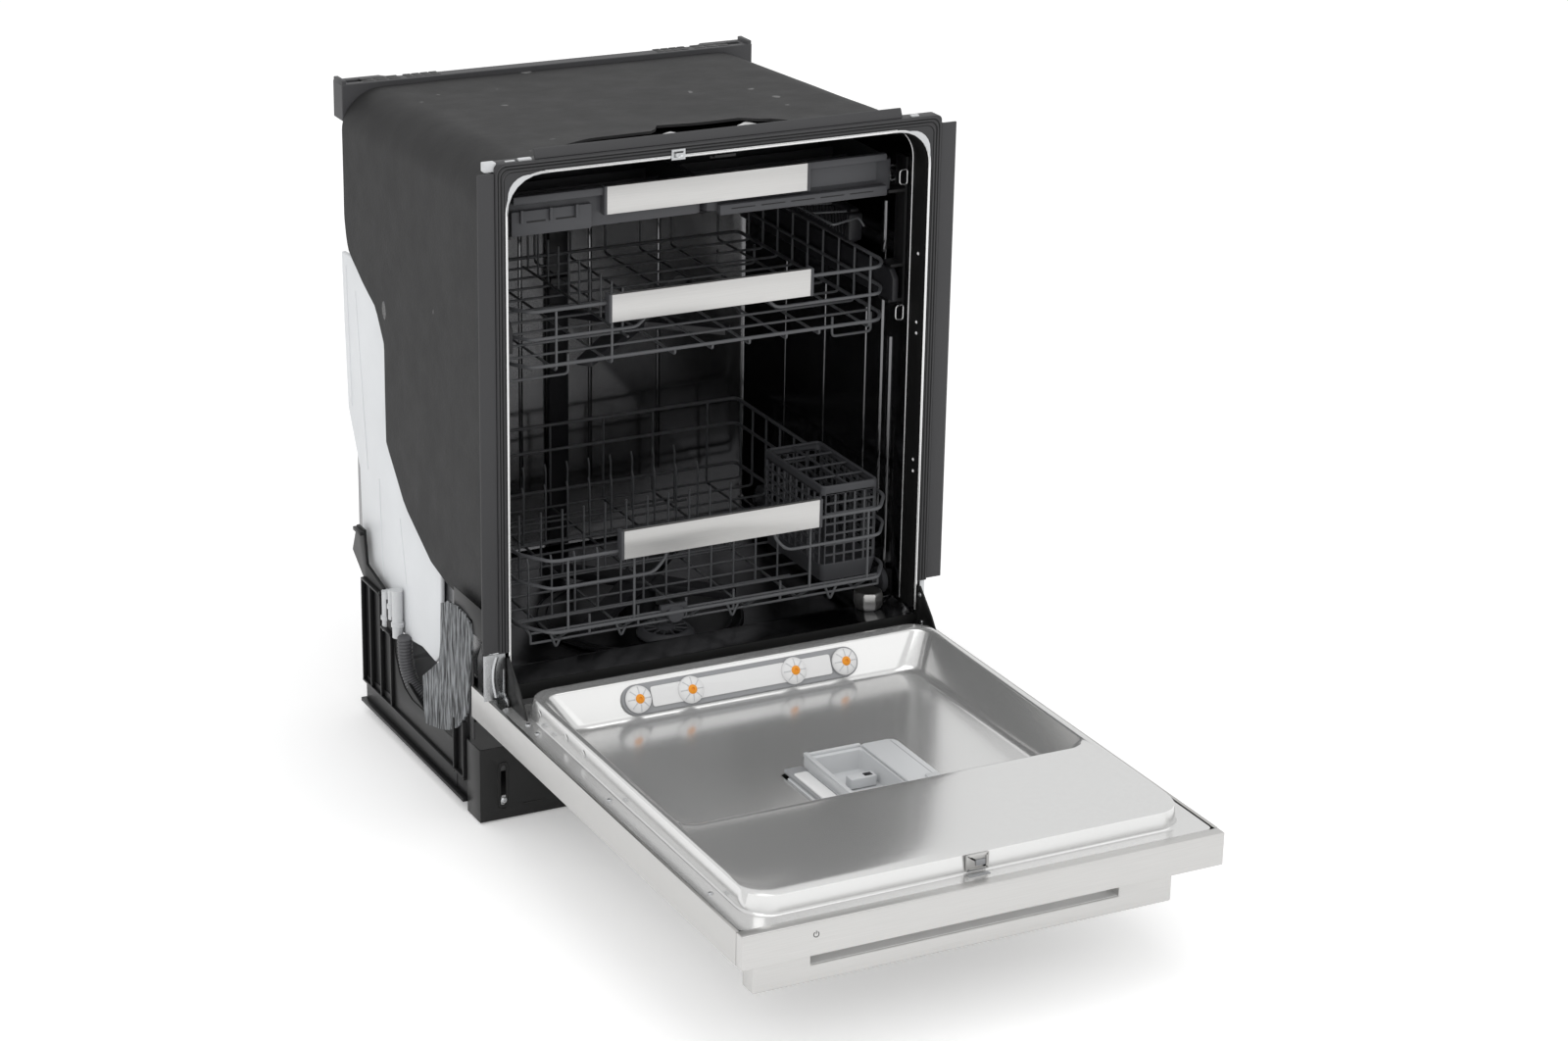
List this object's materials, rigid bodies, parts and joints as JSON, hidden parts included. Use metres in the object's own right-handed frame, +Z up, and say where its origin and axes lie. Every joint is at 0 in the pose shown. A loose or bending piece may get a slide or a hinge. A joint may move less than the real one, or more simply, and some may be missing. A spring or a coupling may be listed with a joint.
{
  "type": "built-in dishwasher",
  "caption": "Built-in dishwasher with its door open: stainless tub under a sound blanket, pull-out racks, spray arms, cutlery basket, detergent dispenser and base.",
  "frame": {"origin": "middle of the footprint on the floor, measured with the door open", "axes": "+Z up, the front faces -Y, +X is the right-hand side seen from the front"},
  "size_m": [0.625, 1.199, 0.854],
  "materials": {
    "stainless_tub": "polished",
    "brushed_stainless": "satin brushed",
    "handle_metal": "satin brushed",
    "polished_stainless": "bright",
    "zinc_plated_steel": "plated",
    "black_painted_steel": "satin",
    "trim_plastic": "satin",
    "black_plastic": "satin",
    "grey_plastic": "satin",
    "light_grey_plastic": "semi-gloss",
    "white_plastic": "satin",
    "black_rubber": "matt",
    "bitumen_sheet": "matt",
    "fibre_pad": "matt fibre",
    "coated_wire": "satin coating",
    "filter_steel": "perforated",
    "pump_metal": "matt"
  },
  "bodies": {
    "cabinet": {"tub": "stainless_tub", "hinge_bracket_left": "zinc_plated_steel", "hinge_bracket_right": "zinc_plated_steel", "door_strike": "zinc_plated_steel", "junction_box": "zinc_plated_steel", "toe_kick_plate": "black_painted_steel", "front_trim": "trim_plastic", "side_seal_left": "trim_plastic", "side_seal_right": "trim_plastic", "top_seal_flap": "trim_plastic", "base_tray": "black_plastic", "rear_top_bracket": "black_plastic", "sump_housing": "black_plastic", "drain_pump": "black_plastic", "rail_guide_left": "grey_plastic", "rail_guide_right": "grey_plastic", "spray_riser": "grey_plastic", "drain_hose": "grey_plastic", "water_guide": "white_plastic", "inlet_valve": "white_plastic", "tub_gasket": "black_rubber", "damping_sheet": "bitumen_sheet", "insulation_pad": "fibre_pad", "filter_plate": "filter_steel", "wash_pump": "pump_metal"},
    "door": {"door_outer_panel": "brushed_stainless", "door_liner": "polished_stainless", "control_strip": "handle_metal", "door_handle": "handle_metal", "hinge_arms": "black_painted_steel", "latch_receiver": "light_grey_plastic", "nozzle_bar": "light_grey_plastic", "dispenser_body": "light_grey_plastic"},
    "dispenser_lid": {"dispenser_lid": "light_grey_plastic"},
    "dispenser_latch": {"dispenser_latch": "light_grey_plastic"},
    "top_rack": {"top_rack_tray_left": "grey_plastic", "top_rack_tray_right": "grey_plastic", "top_rack_handle": "brushed_stainless"},
    "middle_rails": {"middle_rail_left": "grey_plastic", "middle_rail_right": "grey_plastic"},
    "middle_rack": {"middle_rack": "coated_wire", "middle_rack_handle": "brushed_stainless"},
    "middle_tine_row": {"middle_tine_row": "coated_wire"},
    "middle_spray_arm": {"middle_spray_arm": "grey_plastic"},
    "lower_rack": {"lower_rack": "coated_wire", "lower_rack_handle": "brushed_stainless"},
    "lower_tine_row": {"lower_tine_row": "coated_wire"},
    "cutlery_basket": {"cutlery_basket": "grey_plastic"},
    "lower_spray_arm": {"lower_spray_arm": "grey_plastic"},
    "upper_spray_arm": {"upper_spray_arm": "grey_plastic"},
    "filter_cylinder": {"filter_cylinder": "grey_plastic"},
    "float_cap": {"float_cap": "zinc_plated_steel"},
    "roller_front_left": {"roller_front_left": "grey_plastic"},
    "roller_front_right": {"roller_front_right": "grey_plastic"},
    "roller_rear_left": {"roller_rear_left": "grey_plastic"},
    "roller_rear_right": {"roller_rear_right": "grey_plastic"},
    "foot_front_left": {"foot_front_left": "black_plastic"},
    "foot_front_right": {"foot_front_right": "black_plastic"},
    "foot_rear_left": {"foot_rear_left": "black_plastic"},
    "foot_rear_right": {"foot_rear_right": "black_plastic"}
  },
  "joints": [
    {"name": "door_hinge", "type": "hinge", "parent": "cabinet", "child": "door", "pos_m": [0, 0.0675, 0.178], "axis": [-1, 0, 0], "range_deg": [0, 90]},
    {"name": "dispenser_lid_slide", "type": "slide", "parent": "door", "child": "dispenser_lid", "axis": [1, 0, 0], "range_m": [-0.06, 0]},
    {"name": "dispenser_latch_press", "type": "slide", "parent": "door", "child": "dispenser_latch", "axis": [1, 0, 0], "range_m": [0, 0.004], "stiffness_N_per_m": 200},
    {"name": "top_rack_slide", "type": "slide", "parent": "cabinet", "child": "top_rack", "axis": [0, 1, 0], "range_m": [-0.42, 0]},
    {"name": "middle_rack_slide", "type": "slide", "parent": "cabinet", "child": "middle_rails", "axis": [0, 1, 0], "range_m": [-0.42, 0]},
    {"name": "middle_rack_height", "type": "slide", "parent": "middle_rails", "child": "middle_rack", "axis": [0, 0, 1], "range_m": [0, 0.02]},
    {"name": "middle_tine_fold", "type": "hinge", "parent": "middle_rack", "child": "middle_tine_row", "pos_m": [-0.08, 0.3225, 0.585], "axis": [0, 1, 0], "range_deg": [0, 80]},
    {"name": "middle_spray_turn", "type": "hinge", "parent": "middle_rack", "child": "middle_spray_arm", "pos_m": [0, 0.3095, 0.552], "axis": [0, 0, 1], "continuous": true},
    {"name": "lower_rack_slide", "type": "slide", "parent": "cabinet", "child": "lower_rack", "axis": [0, 1, 0], "range_m": [-0.45, 0]},
    {"name": "lower_tine_fold", "type": "hinge", "parent": "lower_rack", "child": "lower_tine_row", "pos_m": [-0.0445, 0.2745, 0.244], "axis": [-1, 0, 0], "range_deg": [0, 80]},
    {"name": "cutlery_basket_lift", "type": "slide", "parent": "lower_rack", "child": "cutlery_basket", "axis": [0, 0, 1], "range_m": [0, 0.14]},
    {"name": "roller_front_left_spin", "type": "hinge", "parent": "lower_rack", "child": "roller_front_left", "pos_m": [-0.2662, 0.1445, 0.2188], "axis": [1, 0, 0], "continuous": true},
    {"name": "roller_front_right_spin", "type": "hinge", "parent": "lower_rack", "child": "roller_front_right", "pos_m": [0.2662, 0.1445, 0.2188], "axis": [1, 0, 0], "continuous": true},
    {"name": "roller_rear_left_spin", "type": "hinge", "parent": "lower_rack", "child": "roller_rear_left", "pos_m": [-0.2662, 0.4745, 0.2188], "axis": [1, 0, 0], "continuous": true},
    {"name": "roller_rear_right_spin", "type": "hinge", "parent": "lower_rack", "child": "roller_rear_right", "pos_m": [0.2662, 0.4745, 0.2188], "axis": [1, 0, 0], "continuous": true},
    {"name": "lower_spray_turn", "type": "hinge", "parent": "cabinet", "child": "lower_spray_arm", "pos_m": [-0.005, 0.2945, 0.208], "axis": [0, 0, 1], "continuous": true},
    {"name": "upper_spray_turn", "type": "hinge", "parent": "cabinet", "child": "upper_spray_arm", "pos_m": [0, 0.3195, 0.788], "axis": [0, 0, 1], "continuous": true},
    {"name": "filter_twist", "type": "hinge", "parent": "cabinet", "child": "filter_cylinder", "pos_m": [-0.005, 0.2095, 0.15], "axis": [0, 0, 1], "range_deg": [0, 90]},
    {"name": "float_rise", "type": "slide", "parent": "cabinet", "child": "float_cap", "axis": [0, 0, 1], "range_m": [0, 0.006]},
    {"name": "foot_front_left_screw", "type": "hinge", "parent": "cabinet", "child": "foot_front_left", "pos_m": [-0.262, 0.1815, 0.006], "axis": [0, 0, 1], "continuous": true},
    {"name": "foot_front_right_screw", "type": "hinge", "parent": "cabinet", "child": "foot_front_right", "pos_m": [0.262, 0.1815, 0.006], "axis": [0, 0, 1], "continuous": true},
    {"name": "foot_rear_left_screw", "type": "hinge", "parent": "cabinet", "child": "foot_rear_left", "pos_m": [-0.262, 0.4795, 0.006], "axis": [0, 0, 1], "continuous": true},
    {"name": "foot_rear_right_screw", "type": "hinge", "parent": "cabinet", "child": "foot_rear_right", "pos_m": [0.262, 0.4795, 0.006], "axis": [0, 0, 1], "continuous": true}
  ],
  "couplings": [
    {"joint": "roller_front_left_spin", "follows": "lower_rack_slide", "rad_per_m": -58.824},
    {"joint": "roller_front_right_spin", "follows": "lower_rack_slide", "rad_per_m": -58.824},
    {"joint": "roller_rear_left_spin", "follows": "lower_rack_slide", "rad_per_m": -58.824},
    {"joint": "roller_rear_right_spin", "follows": "lower_rack_slide", "rad_per_m": -58.824}
  ]
}
